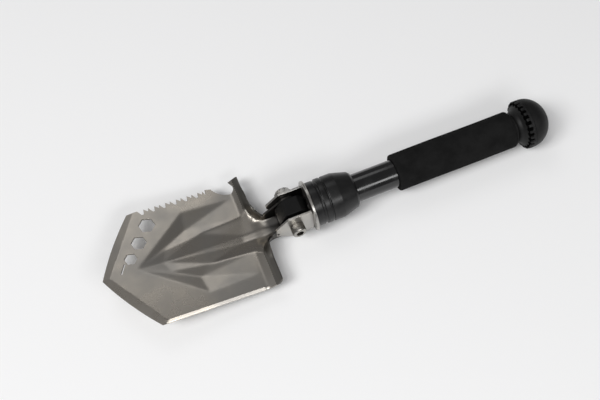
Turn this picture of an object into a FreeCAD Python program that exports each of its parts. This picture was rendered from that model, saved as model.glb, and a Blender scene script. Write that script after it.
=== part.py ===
import FreeCAD, Part
import math
import os

# Folding camp shovel, opened flat and lying on its pressure ring and knob.
# +X runs along the handle from the blade's tip to the knob, +Y points to the
# saw-toothed side and +Z is up. Everything is modelled about the handle's axis,
# with x = 0 at the pressure ring's front face, and moved at the end so that the
# origin is the centre of the whole object's footprint. Millimetres.

V = FreeCAD.Vector

# ---- blade, in its own plane: u from the tip, v to the saw side, h upward ----
BLADE_T = 2.0               # sheet thickness
BLADE_PITCH = 6.3           # degrees that the tip rises above the handle's axis
SHOULDER_U = 141.0          # tip to rear shoulder on the saw side
PLAIN_SHOULDER_U = 143.6    # tip to rear shoulder on the plain side
SHOULDER_X = -48.1          # rear shoulders on the handle's axis frame
SHOULDER_Z = -10.4
CORNER_U = 36.5             # tip to front corners
HALF_W = 56.0
FRONT_BULGE = 2.0           # sagitta of the digging edges
CORNER_R = 4.5
EDGE_INSET = 5.5            # digging bevel's inner line, inside the straight chord
EDGE_DEPTH = 1.5
SIDE_BEVEL_W = 2.6
SIDE_BEVEL_DEPTH = 1.7
CHANNEL_U = 31.0            # front apex of the pressed channel and wings
CHANNEL_DEPTH = 6.6
WING_DEPTH = 2.4
RIDGE_DEPTH = 1.0
LIP_H = 3.0                 # rear shoulders turn up by this much
LIP_W = 7.5
HEX_ANGLE = 46.5            # one corner of each wrench hole, from +u
HEX_HOLES = ((50.7, 39.4, 13.0), (39.2, 24.8, 12.0), (28.4, 12.0, 10.0))
SLOT_W = 1.3
SAW_START_U = 46.6
SAW_FIRST_U = 52.3
SAW_PAIRS = 6
SAW_PAIR_PITCH = 10.1
SAW_PEAK_STEP = 4.4
SAW_NOTCH = 3.2
SAW_GULLET = 4.9
HOOK_TIP = (131.8, 56.6)

# ---- hinge ----
PIVOT_X = -15.85
PIVOT_Z = -0.8
NECK_HALF = 11.9            # outside of the blade's two cheeks
NECK_FLOOR_Z = -17.0
NECK_START_X = -46.0
KEEL_HALF = 3.6             # flat bottom of the channel and neck
KNEE_Z = -14.0              # where the neck's sloping sides turn upright
CHEEK_EYE_R = 9.5
BLOCK_CAM_R = 15.5
BLOCK_REAR = 15.2           # pivot to the flat that the ring holds
BLOCK_FRONT_X = -28.5
TONGUE_HALF = 8.0           # upper half-width of the block
TONGUE_Z = 12.4
SCREW_XS = (-24.5, -15.0)   # the two screws that hold the blade's neck to the block
BLOCK_SCREW_R = 2.5
EAR_IN = 12.2
EAR_T = 2.0
EAR_HALF_H = 15.2
EAR_NOSE_X = -34.6
EAR_CORNER_X = -22.5        # where the ear's sloping front meets its top
STEM_HALF_H = 10.0
BASE_X = 10.0
BUSH_R = 6.0
BOLT_R = 4.0
RUN = 0.05                  # radial running clearance
BOLT_HEAD_R = 6.3
BOLT_HEAD_Y = -22.2
BOLT_END_Y = 24.4
BOLT_KEY_AF = 6.4
NUT_AF = 13.4
NUT_END_Y = 23.2

# ---- ring, collar, hub ----
RING_R = 23.0
RING_T = 2.4
RING_HOLE_R = 8.0
RING_GAP = 0.3              # clearance about the ears in the ring's slots
COLLAR_X = 2.5
COLLAR_R = 20.5
COLLAR_END_X = 44.0
THREAD_R = 16.6
HUB_X = 13.0
HUB_END_X = 31.0
TUBE_START_X = 19.0
SCREW_R = 4.0

# ---- handle ----
TUBE_R = 12.7
TUBE_WALL = 1.5
TUBE_END_X = 198.0
GRIP_X = 83.0
GRIP_END_X = 197.0
GRIP_R = 17.0
GRIP_ROUND = 4.0            # radius of the sleeve's rounded ends
PLUG_L = 20.0
STUD_R = 6.0
KNOB_X = 200.0
KNOB_R = 22.6
KNOB_RIM_X = 206.5
KNOB_RIM_W = 6.0
KNOB_LEN = 32.5
KNOB_NOTCHES = 24

EAR_OUT = EAR_IN + EAR_T
NECK_IN = NECK_HALF - BLADE_T
TUBE_IN = TUBE_R - TUBE_WALL
PIVOT = V(PIVOT_X, 0, PIVOT_Z)


def polygon(points, axis="z", level=0.0):
    """A planar face through 2-D points: (x, y) for z, (x, z) for y, (y, z) for x."""
    if axis == "z":
        corners = [V(a, b, level) for a, b in points]
    elif axis == "y":
        corners = [V(a, level, b) for a, b in points]
    else:
        corners = [V(level, a, b) for a, b in points]
    return Part.Face(Part.makePolygon(corners + [corners[0]]))


def slab(points, axis, low, high):
    """The polygon extruded along its axis from low to high."""
    direction = {"x": V(1, 0, 0), "y": V(0, 1, 0), "z": V(0, 0, 1)}[axis]
    return polygon(points, axis, low).extrude(direction * (high - low))


def rod(radius, low, high, axis="x", centre=V(0, 0, 0)):
    """A cylinder along X or Y through centre, from low to high on that axis."""
    direction = V(1, 0, 0) if axis == "x" else V(0, 1, 0)
    return Part.makeCylinder(radius, high - low, centre + direction * low, direction)


def hexagon_rod(across_flats, low, high, axis, centre=V(0, 0, 0)):
    """A hexagonal prism along X or Y."""
    radius = across_flats / math.sqrt(3)
    turns = [math.radians(60 * i + 30) for i in range(6)]
    if axis == "x":
        points = [(centre.y + radius * math.cos(a), centre.z + radius * math.sin(a)) for a in turns]
    else:
        points = [(centre.x + radius * math.cos(a), centre.z + radius * math.sin(a)) for a in turns]
    return slab(points, axis, low, high)


def turned(profile):
    """The solid that a closed outline of (x, radius) points sweeps about X."""
    corners = [V(x, r, 0) for x, r in profile]
    face = Part.Face(Part.makePolygon(corners + [corners[0]]))
    return face.revolve(V(0, 0, 0), V(1, 0, 0), 360)


# ------------------------------------------------------------------ blade ----

def blade_facets():
    """Flat facets of the pressed sheet's upper face, on the saw side of the middle."""
    far = HALF_W + 6
    lip_u = SHOULDER_U - 2.5
    foot_u = lip_u - LIP_W
    end_u = PLAIN_SHOULDER_U + 3
    neck_u = SHOULDER_U + 21
    neck_h = -4.3
    apex = (CHANNEL_U, 0, 0)
    wing = (82.8, 41.4, 0)
    tail = (127.3, 39.5, 0)
    valley = (80, 24, -WING_DEPTH)
    ridge_a = (58, 10.5, -RIDGE_DEPTH)
    ridge_b = (92, 15.5, -RIDGE_DEPTH)
    ridge_c = (foot_u, 18, 0)
    keel_a = (54, 0, -2.2)
    floor_a = (127, KEEL_HALF, -CHANNEL_DEPTH)
    floor_a0 = (127, 0, -CHANNEL_DEPTH)
    floor_b = (neck_u, KEEL_HALF, neck_h)
    floor_b0 = (neck_u, 0, neck_h)
    lip_in = (lip_u, 24, LIP_H)
    lip_out = (end_u, 24, LIP_H - 0.8)
    side_a = (150, 15.5, LIP_H)
    side_b = (neck_u, NECK_HALF, 1.0)
    plate = [(-6, 0, 0), apex, wing, tail, ridge_c, (foot_u, far, 0), (-6, far, 0)]
    return [
        plate,
        [apex, valley, wing], [wing, valley, tail],
        [apex, ridge_a, valley], [ridge_a, ridge_b, valley],
        [ridge_b, ridge_c, valley], [ridge_c, tail, valley],
        [apex, keel_a, ridge_a], [keel_a, ridge_b, ridge_a],
        [keel_a, floor_a, ridge_b], [floor_a, ridge_c, ridge_b],
        [keel_a, floor_a0, floor_a], [floor_a0, floor_b0, floor_b, floor_a],
        [floor_a, side_a, ridge_c], [floor_a, floor_b, side_a], [floor_b, side_b, side_a],
        [ridge_c, lip_in, (lip_u, far, LIP_H), (foot_u, far, 0)],
        [lip_in, lip_out, (end_u, far, LIP_H - 0.8), (lip_u, far, LIP_H)],
        [ridge_c, side_a, lip_in], [lip_in, side_a, lip_out],
    ]


def pressed_sheet():
    """The embossed sheet before it is trimmed: both faces and the walls between them."""
    half = blade_facets()
    facets = half + [[(u, -v, h) for u, v, h in reversed(facet)] for facet in half]
    sides = {(start, end) for facet in facets for start, end in zip(facet, facet[1:] + facet[:1])}
    # an edge with a facet on one side only is on the rim; both halves share the middle line
    rim = [(a, b) for a, b in sorted(sides) if (b, a) not in sides and (a[1] or b[1])]
    faces = []
    for level in (0, -BLADE_T):
        for facet in facets:
            corners = [V(u, v, h + level) for u, v, h in facet]
            faces.append(Part.Face(Part.makePolygon(corners + [corners[0]])))
    for start, end in rim:
        corners = [V(*start), V(*end), V(*end) - V(0, 0, BLADE_T), V(*start) - V(0, 0, BLADE_T)]
        faces.append(Part.Face(Part.makePolygon(corners + [corners[0]])))
    shell = Part.makeShell(faces)
    shell.sewShape()
    return Part.makeSolid(shell)


def saw_points():
    """Six pairs of raked teeth, with a deep gullet after each pair."""
    points = [(SAW_START_U, HALF_W), (SAW_FIRST_U - 2.8, HALF_W - SAW_GULLET)]
    points.append((SAW_FIRST_U - 0.8, HALF_W - SAW_GULLET))
    for pair in range(SAW_PAIRS):
        u = SAW_FIRST_U + pair * SAW_PAIR_PITCH
        points.append((u, HALF_W))
        points.append((u + SAW_PEAK_STEP - 0.8, HALF_W - SAW_NOTCH))
        points.append((u + SAW_PEAK_STEP, HALF_W))
        if pair < SAW_PAIRS - 1:
            points.append((u + SAW_PAIR_PITCH - 2.4, HALF_W - SAW_GULLET))
            points.append((u + SAW_PAIR_PITCH - 0.8, HALF_W - SAW_GULLET))
    return points


def line(start, end):
    """A straight edge between two (u, v) points."""
    return Part.LineSegment(V(*start, 0), V(*end, 0)).toShape()


def arc(start, middle, end):
    """A circular edge through three (u, v) points."""
    return Part.Arc(V(*start, 0), V(*middle, 0), V(*end, 0)).toShape()


def blade_outline():
    """Plan outline of the blade: digging edges, saw, bottle opener, shoulders and neck."""
    tip = (0.0, 0.0)
    out_u = FRONT_BULGE * HALF_W / math.hypot(CORNER_U, HALF_W)
    out_v = FRONT_BULGE * CORNER_U / math.hypot(CORNER_U, HALF_W)
    corner = (CORNER_U, HALF_W)
    bulge = (CORNER_U / 2 - out_u, HALF_W / 2 + out_v)
    saw = saw_points()
    step_foot = (109.2, HALF_W - SAW_GULLET)
    step_top = (109.8, HALF_W + 0.6)
    step_end = (115.2, HALF_W - 0.8)
    hollow = (121.6, HALF_W - 8.6)
    throat = (130.6, HALF_W - 11.6)
    throat_side = (134.2, HALF_W - 8.0)
    hook_root = (133.6, HALF_W - 3.6)
    hook_back = (137.0, HALF_W + 1.6)
    shoulder = (SHOULDER_U, HALF_W + 1.6)
    rear_in = (SHOULDER_U, 27.0)
    rear_mid = (143.9, 18.2)
    neck_in = (150.5, 13.8)
    neck_end = (SHOULDER_U + 12.6, NECK_HALF)
    neck_out = (SHOULDER_U + 21, NECK_HALF)
    plain_in = (PLAIN_SHOULDER_U, -27.0)
    plain_mid = (145.4, -18.6)
    edges = [arc(tip, bulge, corner), line(corner, saw[0])]
    edges += [line(a, b) for a, b in zip(saw, saw[1:])]
    edges += [line(saw[-1], step_foot), line(step_foot, step_top), line(step_top, step_end)]
    edges += [arc(step_end, hollow, throat), arc(throat, throat_side, hook_root)]
    edges += [line(hook_root, HOOK_TIP), line(HOOK_TIP, hook_back), line(hook_back, shoulder)]
    edges += [line(shoulder, rear_in), arc(rear_in, rear_mid, neck_in), line(neck_in, neck_end)]
    edges += [line(neck_end, neck_out)]

    def mirrored(point):
        return (point[0], -point[1])

    edges += [line(neck_out, mirrored(neck_out)), line(mirrored(neck_out), mirrored(neck_end))]
    edges += [line(mirrored(neck_end), mirrored(neck_in))]
    edges += [arc(mirrored(neck_in), plain_mid, plain_in)]
    blunt = CORNER_R * math.sqrt(0.5)
    rear = (PLAIN_SHOULDER_U, -HALF_W + CORNER_R)
    rear_arc = (PLAIN_SHOULDER_U - CORNER_R + blunt, -HALF_W + CORNER_R - blunt)
    side = (PLAIN_SHOULDER_U - CORNER_R, -HALF_W)
    edges += [line(plain_in, rear), arc(rear, rear_arc, side), line(side, mirrored(corner))]
    edges += [arc(mirrored(corner), mirrored(bulge), tip)]
    return Part.Face(Part.Wire(Part.__sortEdges__(edges)))


def edge_wedge(start, end, inset, reach, depth):
    """Wedge that grinds a bevel down from the upper face along a straight edge."""
    along = V(end[0] - start[0], end[1] - start[1], 0)
    length = along.Length
    along.normalize()
    inward = V(0, 0, 1).cross(along)
    total = inset + reach
    slope = depth / total
    a = V(start[0], start[1], 0) + inward * inset - along * 12
    low = a - inward * (total + 2) - V(0, 0, slope * (total + 2))
    high = a - inward * (total + 2) + V(0, 0, 12)
    top = a + V(0, 0, 12)
    face = Part.Face(Part.makePolygon([a, low, high, top, a]))
    return face.extrude(along * (length + 24))


def wrench_hole(u, v, across_flats):
    """Cutter for one hexagonal hole."""
    radius = across_flats / math.sqrt(3)
    turns = [math.radians(HEX_ANGLE + 60 * i) for i in range(6)]
    points = [(u + radius * math.cos(a), v + radius * math.sin(a)) for a in turns]
    return slab(points, "z", -20, 20)


def puller_slot():
    """Narrow slot that leaves the smallest wrench hole, beside the digging edge."""
    u, v, across_flats = HEX_HOLES[2]
    start = V(u - across_flats * 0.5, v - across_flats * 0.22, 0)
    end = V(17.2, 0.8, 0)
    along = end - start
    length = along.Length
    angle = math.degrees(math.atan2(along.y, along.x))
    box = Part.makeBox(length, SLOT_W, 40, V(0, -SLOT_W / 2, -20))
    box = box.fuse(Part.makeCylinder(SLOT_W / 2, 40, V(length, 0, -20)))
    box.rotate(V(0, 0, 0), V(0, 0, 1), angle)
    box.translate(start)
    return box


def blade_to_handle(shape):
    """Place blade-plane coordinates in the handle's frame."""
    shape.translate(V(-SHOULDER_U, 0, 0))
    shape.rotate(V(0, 0, 0), V(0, 1, 0), BLADE_PITCH)
    shape.translate(V(SHOULDER_X, 0, SHOULDER_Z))
    return shape


def neck_bore():
    """Cross-section of the neck's inside: a narrow floor, sloping sides and upright cheeks."""
    top = 30
    half = [(KEEL_HALF, NECK_FLOOR_Z), (NECK_IN, KNEE_Z), (NECK_IN, top)]
    return half + [(-y, z) for y, z in reversed(half)]


def neck():
    """Folded neck of the blade, with the eyes for the hinge bolt."""
    bore = slab(neck_bore(), "x", NECK_START_X, 0)
    wall = polygon(neck_bore(), "x", NECK_START_X).makeOffset2D(BLADE_T, 2)
    trough = wall.extrude(V(-NECK_START_X, 0, 0)).cut(bore)
    low = NECK_FLOOR_Z - BLADE_T - 1
    sides = [(NECK_START_X, low), (-14, low), (-5.5, -11), (-8, 5), (-30, 2), (-40, -6), (NECK_START_X, -11)]
    outline = slab(sides, "y", -NECK_HALF, NECK_HALF)
    outline = outline.fuse(rod(CHEEK_EYE_R, -NECK_HALF, NECK_HALF, "y", PIVOT))
    return trough.common(outline)


def blade():
    """Pressed and ground sheet with its folded neck, in one piece."""
    sheet = pressed_sheet()
    outline = blade_outline()
    outline.translate(V(0, 0, -25))
    shape = sheet.common(outline.extrude(V(0, 0, 50)))
    corner = (CORNER_U, HALF_W)
    shape = shape.cut(edge_wedge(corner, (0, 0), EDGE_INSET, FRONT_BULGE, EDGE_DEPTH))
    shape = shape.cut(edge_wedge((0, 0), (corner[0], -corner[1]), EDGE_INSET, FRONT_BULGE, EDGE_DEPTH))
    side = edge_wedge((CORNER_U + 8, -HALF_W), (SHOULDER_U - 18, -HALF_W), SIDE_BEVEL_W, 0, SIDE_BEVEL_DEPTH)
    shape = shape.cut(side)
    for u, v, across_flats in HEX_HOLES:
        shape = shape.cut(wrench_hole(u, v, across_flats))
    shape = shape.cut(puller_slot())
    shape = blade_to_handle(shape)
    shape = shape.fuse(neck())
    shape = shape.cut(rod(BUSH_R, -30, 30, axis="y", centre=PIVOT))
    shape = shape.cut(slab(neck_bore(), "x", -38.6, 0))
    for x in SCREW_XS:
        shape = shape.cut(Part.makeCylinder(BLOCK_SCREW_R, 4, V(x, 0, NECK_FLOOR_Z - 3)))
    return shape.removeSplitter()


def hinge_block():
    """Cast tongue that fills the neck; the ring holds its rear flat when the blade is open."""
    front = BLOCK_FRONT_X
    rear = PIVOT_X + BLOCK_REAR
    side = slab([
        (front, NECK_FLOOR_Z - 1), (rear, NECK_FLOOR_Z - 1), (rear, TONGUE_Z), (-21.4, TONGUE_Z),
        (-26, 5.5), (front, 1),
    ], "y", -NECK_IN, NECK_IN)
    cam = rod(BLOCK_CAM_R, -NECK_IN, NECK_IN, "y", PIVOT)
    behind = slab([(PIVOT_X, PIVOT_Z), (20, PIVOT_Z), (20, 40), (PIVOT_X, 40)], "y", -NECK_IN, NECK_IN)
    side = side.cut(behind.cut(cam))
    bevel = 0.6
    tongue = slab([
        (-TONGUE_HALF, -30), (TONGUE_HALF, -30), (TONGUE_HALF, TONGUE_Z - bevel),
        (TONGUE_HALF - bevel, TONGUE_Z), (bevel - TONGUE_HALF, TONGUE_Z),
        (-TONGUE_HALF, TONGUE_Z - bevel),
    ], "x", front - 1, rear + 1)
    foot = Part.makeBox(40, 2 * NECK_IN, 12, V(front - 1, -NECK_IN, NECK_FLOOR_Z - 2))
    boss = rod(CHEEK_EYE_R - 0.5, -NECK_IN, NECK_IN, "y", PIVOT)
    shape = side.common(tongue.fuse([foot, boss]))
    shape = shape.common(slab(neck_bore(), "x", front - 1, rear + 1))
    shape = shape.cut(rod(BUSH_R, -30, 30, axis="y", centre=PIVOT))
    for x in SCREW_XS:
        shape = shape.cut(Part.makeCylinder(BLOCK_SCREW_R, 8, V(x, 0, NECK_FLOOR_Z - 1)))
    return shape.removeSplitter()


def block_screws():
    """Two countersunk screws up through the neck's floor."""
    screws = []
    for x in SCREW_XS:
        start = V(x, 0, NECK_FLOOR_Z - BLADE_T)
        screws.append(Part.makeCylinder(BLOCK_SCREW_R, 8.5, start).cut(Part.makeCylinder(1.3, 1.5, start)))
    return Part.makeCompound(screws)


def pivot_bush():
    """Bush that fills the neck's eyes and nearly meets both ears."""
    half = EAR_IN - RUN
    return rod(BUSH_R, -half, half, "y", PIVOT).cut(rod(BOLT_R + RUN, -30, 30, "y", PIVOT))


def yoke():
    """Fork of steel plate: two wide ears ahead of the ring, joined inside the collar."""
    half = [
        (EAR_NOSE_X, 4.6), (EAR_CORNER_X, EAR_HALF_H), (-0.4, EAR_HALF_H), (-0.4, STEM_HALF_H),
        (BASE_X + 3, STEM_HALF_H),
    ]
    ear = [(x, PIVOT_Z + z) for x, z in half] + [(x, PIVOT_Z - z) for x, z in reversed(half)]
    shape = slab(ear, "y", EAR_IN, EAR_OUT).fuse(slab(ear, "y", -EAR_OUT, -EAR_IN))
    base = Part.makeBox(3, 2 * EAR_OUT, 2 * STEM_HALF_H, V(BASE_X, -EAR_OUT, PIVOT_Z - STEM_HALF_H))
    shape = shape.fuse(base)
    shape = shape.cut(rod(BOLT_R, -30, 30, "y", PIVOT)).cut(rod(SCREW_R, 0, 40))
    shape = shape.cut(rod(2.2, -30, 30, "y", V(EAR_NOSE_X, 0, -4.0)))
    return shape.removeSplitter()


def hinge_bolt():
    """Socket head cap bolt with its head on the plain side of the blade."""
    head = rod(BOLT_HEAD_R, BOLT_HEAD_Y, -EAR_OUT, "y", PIVOT)
    head = head.makeChamfer(0.6, [head.Edges[0], head.Edges[2]])
    shape = head.fuse(rod(BOLT_R, -EAR_OUT - 1, BOLT_END_Y, "y", PIVOT))
    return shape.cut(hexagon_rod(BOLT_KEY_AF, BOLT_HEAD_Y - 1, BOLT_HEAD_Y + 5, "y", PIVOT))


def nut_washer():
    """Plain washer under the nut."""
    return rod(8.0, EAR_OUT, EAR_OUT + 1, "y", PIVOT).cut(rod(BOLT_R, 0, 40, "y", PIVOT))


def hinge_nut():
    """Hexagonal nut with its corners turned off."""
    nut = hexagon_rod(NUT_AF, EAR_OUT + 1, NUT_END_Y, "y", PIVOT)
    round_off = rod(NUT_AF / math.sqrt(3) - 0.1, 0, 40, "y", PIVOT)
    return nut.common(round_off).cut(rod(BOLT_R, 0, 40, "y", PIVOT))


def pressure_ring():
    """Washer that the collar drives against the block, slotted for the yoke's ears."""
    disc = rod(RING_R, 0, RING_T)
    disc = disc.makeChamfer(0.4, [disc.Edges[0], disc.Edges[2]])
    disc = disc.cut(rod(RING_HOLE_R, -1, RING_T + 1))
    width = EAR_T + 2 * RING_GAP
    half_height = STEM_HALF_H + RING_GAP
    for side in (1, -1):
        low = side * (EAR_IN + EAR_OUT) / 2 - width / 2
        slot = Part.makeBox(RING_T + 2, width, 2 * half_height, V(-1, low, PIVOT_Z - half_height))
        disc = disc.cut(slot)
    return disc


def locking_collar():
    """Grooved conical nut on the hub's thread; its front rim pushes the pressure ring."""
    r = COLLAR_R
    return turned([
        (COLLAR_X, 18.5), (COLLAR_X, r - 1.0), (COLLAR_X + 0.5, r - 0.5), (9.6, r - 0.5),
        (10.2, r - 1.1), (11.8, r - 1.1), (12.4, r), (16.6, r), (17.2, r - 0.9), (18.0, r - 0.9),
        (18.6, r), (28.0, r), (42.0, 16.5), (COLLAR_END_X, 14.4), (COLLAR_END_X, TUBE_R + 0.4),
        (37.0, TUBE_R + 0.4), (37.0, THREAD_R + RUN), (HUB_X + 0.3, THREAD_R + RUN),
        (HUB_X + 0.3, 18.5),
    ])


def grub_axes():
    """Start point and direction of each radial grub screw in the hub."""
    x = (TUBE_START_X + HUB_END_X) / 2
    return [(V(x, 0, 0), V(0, math.cos(a), math.sin(a))) for a in (math.radians(90), math.radians(270))]


def threaded_hub():
    """Threaded plug that joins the yoke to the tube and carries the collar."""
    shape = rod(THREAD_R, HUB_X, HUB_END_X).cut(rod(TUBE_R, TUBE_START_X, HUB_END_X + 1))
    shape = shape.cut(rod(SCREW_R, HUB_X - 1, TUBE_START_X + 1))
    for start, direction in grub_axes():
        shape = shape.cut(Part.makeCylinder(2.0, 20, start, direction))
    return shape


def hub_grub_screws():
    """Two screws through the tube's wall into the hub."""
    screws = [Part.makeCylinder(2.0, 5.0, start + direction * TUBE_IN, direction)
              for start, direction in grub_axes()]
    return Part.makeCompound(screws)


def yoke_screw():
    """Socket screw that holds the yoke's base to the hub."""
    head = rod(6.5, 3.8, BASE_X - 1)
    shape = head.fuse(rod(SCREW_R, BASE_X - 1.5, TUBE_START_X + 2))
    return shape.cut(hexagon_rod(5.0, 3, 7, "x"))


def yoke_lock_washer():
    """Washer between the yoke screw's head and the base."""
    return rod(7.2, BASE_X - 1, BASE_X).cut(rod(SCREW_R, 0, 40))


def main_tube():
    """Thin-walled tube with the grub screws' holes."""
    shape = rod(TUBE_R, TUBE_START_X, TUBE_END_X).cut(rod(TUBE_IN, 0, TUBE_END_X + 1))
    for start, direction in grub_axes():
        shape = shape.cut(Part.makeCylinder(2.0, 20, start, direction))
    return shape


def foam_grip():
    """Foam sleeve over the tube."""
    shape = rod(GRIP_R, GRIP_X, GRIP_END_X)
    shape = shape.makeFillet(GRIP_ROUND, [shape.Edges[0], shape.Edges[2]])
    return shape.cut(rod(TUBE_R, 0, GRIP_END_X + 1))


def rear_plug():
    """Threaded plug in the tube's rear end that takes the knob's stud."""
    low = TUBE_END_X - PLUG_L
    return rod(TUBE_IN, low, TUBE_END_X).cut(rod(STUD_R + RUN, 0, TUBE_END_X + 1))


def knob_o_ring():
    """Flat seal between the tube's end and the knob."""
    return rod(TUBE_R - 0.2, TUBE_END_X + 0.1, KNOB_X - 0.1).cut(rod(STUD_R + 2, 0, KNOB_X))


def knob_stud():
    """Stud that holds the knob on the rear plug."""
    return rod(STUD_R, TUBE_END_X - PLUG_L + 4, KNOB_X + 8)


def knob_base():
    """Flared neck with the ring of notches under the dome."""
    rim_end = KNOB_RIM_X + KNOB_RIM_W
    shape = turned([
        (KNOB_X, STUD_R), (KNOB_X, 13.2), (KNOB_X + 1.2, 14.6), (KNOB_X + 3.6, 16.2),
        (KNOB_RIM_X - 0.8, 19.4), (KNOB_RIM_X, KNOB_R - 0.8), (KNOB_RIM_X + 0.8, KNOB_R),
        (rim_end, KNOB_R), (rim_end, STUD_R),
    ])
    for i in range(KNOB_NOTCHES):
        notch = Part.makeBox(4.0, 3.0, 2.6, V(KNOB_RIM_X - 0.6, -1.5, KNOB_R - 1.6))
        notch.rotate(V(0, 0, 0), V(1, 0, 0), 360 / KNOB_NOTCHES * i)
        shape = shape.cut(notch)
    return shape.cut(rod(STUD_R, 0, KNOB_X + 8))


def knob_cap():
    """Mushroom dome that closes the knob."""
    start = KNOB_RIM_X + KNOB_RIM_W
    height = KNOB_X + KNOB_LEN - start
    ball = Part.makeSphere(KNOB_R)
    stretch = FreeCAD.Matrix()
    stretch.A11 = height / KNOB_R
    ball = ball.transformGeometry(stretch)
    ball = ball.common(Part.makeBox(60, 60, 60, V(0, -30, -30)))
    ball.translate(V(start, 0, 0))
    return ball


NODES = {
    "blade": blade, "hinge_block": hinge_block, "block_screws": block_screws,
    "pivot_bush": pivot_bush, "yoke": yoke, "hinge_bolt": hinge_bolt, "nut_washer": nut_washer,
    "hinge_nut": hinge_nut, "pressure_ring": pressure_ring, "locking_collar": locking_collar,
    "threaded_hub": threaded_hub, "hub_grub_screws": hub_grub_screws, "yoke_screw": yoke_screw,
    "yoke_lock_washer": yoke_lock_washer, "main_tube": main_tube, "foam_grip": foam_grip,
    "rear_plug": rear_plug, "knob_o_ring": knob_o_ring, "knob_stud": knob_stud,
    "knob_base": knob_base, "knob_cap": knob_cap,
}

shapes = {name: make() for name, make in NODES.items()}
whole = FreeCAD.BoundBox()
for shape in shapes.values():
    whole.add(shape.optimalBoundingBox(False, False))
shift = V(-whole.Center.x, -whole.Center.y, -whole.ZMin)
print("origin shift", shift, "size", whole.XLength, whole.YLength, whole.ZLength)
os.makedirs("parts", exist_ok=True)
for name, shape in shapes.items():
    shape.translate(shift)
    print(name, "valid", shape.isValid(), "solids", len(shape.Solids), "volume", round(shape.Volume, 1))
    shape.exportStep("parts/" + name + ".step")
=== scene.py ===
import math

import bmesh
import bpy
import numpy as np
from mathutils import Matrix, Vector
from mathutils.geometry import delaunay_2d_cdt


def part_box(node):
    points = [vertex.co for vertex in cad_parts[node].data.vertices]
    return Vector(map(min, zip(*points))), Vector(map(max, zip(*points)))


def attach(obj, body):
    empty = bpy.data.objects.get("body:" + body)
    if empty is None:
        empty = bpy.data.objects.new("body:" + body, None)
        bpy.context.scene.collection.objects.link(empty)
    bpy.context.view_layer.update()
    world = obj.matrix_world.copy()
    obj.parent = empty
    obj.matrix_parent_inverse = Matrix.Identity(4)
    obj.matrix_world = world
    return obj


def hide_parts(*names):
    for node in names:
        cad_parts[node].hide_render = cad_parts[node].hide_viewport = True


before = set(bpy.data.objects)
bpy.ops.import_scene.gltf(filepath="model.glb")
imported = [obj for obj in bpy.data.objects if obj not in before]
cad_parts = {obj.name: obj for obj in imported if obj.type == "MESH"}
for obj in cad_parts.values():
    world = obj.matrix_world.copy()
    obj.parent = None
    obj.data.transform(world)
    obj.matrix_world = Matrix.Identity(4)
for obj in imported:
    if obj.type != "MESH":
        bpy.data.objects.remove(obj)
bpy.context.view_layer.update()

# Shapes below are worked out in millimetres about the handle's axis: x = 0 at the pressure
# ring's front face and growing towards the knob, y to the saw side, z up.
MM = 0.001
RING_LOW, RING_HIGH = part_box("pressure_ring")
AXIS = Vector((RING_LOW.x, (RING_LOW.y + RING_HIGH.y) / 2, (RING_LOW.z + RING_HIGH.z) / 2))


def span(node, axis):
    """Lowest and highest coordinate of a CAD node along an axis, in axis millimetres."""
    low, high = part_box(node)
    return (low[axis] - AXIS[axis]) / MM, (high[axis] - AXIS[axis]) / MM


# ------------------------------------------------------------------ materials ----

def new_material(name, colour, metallic=0.0, roughness=0.5, **sockets):
    """A Principled material; sockets are further inputs set on the shader itself."""
    material = bpy.data.materials.new(name)
    material.use_nodes = True
    shader = material.node_tree.nodes["Principled BSDF"]
    shader.inputs["Base Color"].default_value = (*colour, 1)
    shader.inputs["Metallic"].default_value = metallic
    shader.inputs["Roughness"].default_value = roughness
    for key, value in sockets.items():
        shader.inputs[key.replace("_", " ")].default_value = value
    return material


def add_node(material, kind, inputs=None, **settings):
    """A shader node with its settings and the constants of its inputs."""
    node = material.node_tree.nodes.new(kind)
    for key, value in settings.items():
        setattr(node, key, value)
    for key, value in (inputs or {}).items():
        node.inputs[key].default_value = value
    return node


def link(material, source, target):
    material.node_tree.links.new(source, target)


def shader_of(material):
    return material.node_tree.nodes["Principled BSDF"]


def coordinates(material, scale):
    """Object coordinates stretched by scale, so grain keeps its real size."""
    source = add_node(material, "ShaderNodeTexCoord")
    mapping = add_node(material, "ShaderNodeMapping", {"Scale": scale})
    link(material, source.outputs["Object"], mapping.inputs["Vector"])
    return mapping.outputs["Vector"]


def noise(material, vector, scale, detail, rough):
    """Noise of a scale in cycles per metre."""
    node = add_node(material, "ShaderNodeTexNoise",
                    {"Scale": scale, "Detail": detail, "Roughness": rough})
    link(material, vector, node.inputs["Vector"])
    return node.outputs["Fac"]


def ramp(material, value, low, high, a, b):
    """Maps value from low..high to a..b, clamped."""
    node = add_node(material, "ShaderNodeMapRange",
                    {"From Min": low, "From Max": high, "To Min": a, "To Max": b})
    link(material, value, node.inputs["Value"])
    return node.outputs["Result"]


def mix_colour(material, factor, first, second):
    """Mixes two colours, each a tuple or a socket, by a factor socket."""
    node = add_node(material, "ShaderNodeMix", data_type="RGBA")
    link(material, factor, node.inputs["Factor"])
    for socket, colour in ((node.inputs[6], first), (node.inputs[7], second)):
        if isinstance(colour, tuple):
            socket.default_value = (*colour, 1)
        else:
            link(material, colour, socket)
    return node.outputs[2]


def add_bump(material, heights):
    """Chains bumps: each entry is (height socket, distance in metres, strength)."""
    normal = None
    for height, distance, strength in heights:
        node = add_node(material, "ShaderNodeBump", {"Distance": distance, "Strength": strength})
        link(material, height, node.inputs["Height"])
        if normal is not None:
            link(material, normal, node.inputs["Normal"])
        normal = node.outputs["Normal"]
    link(material, normal, shader_of(material).inputs["Normal"])


def multiply(material, first, second):
    """The product of two sockets."""
    node = add_node(material, "ShaderNodeMath", operation="MULTIPLY")
    link(material, first, node.inputs[0])
    link(material, second, node.inputs[1])
    return node.outputs[0]


# Painted shade towards the hinge: how far along X it fades in, and its dark tone.
NECK_SHADE_FADE = 0.008
NECK_SHADE_TONE = (0.05, 0.05, 0.05)


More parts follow.
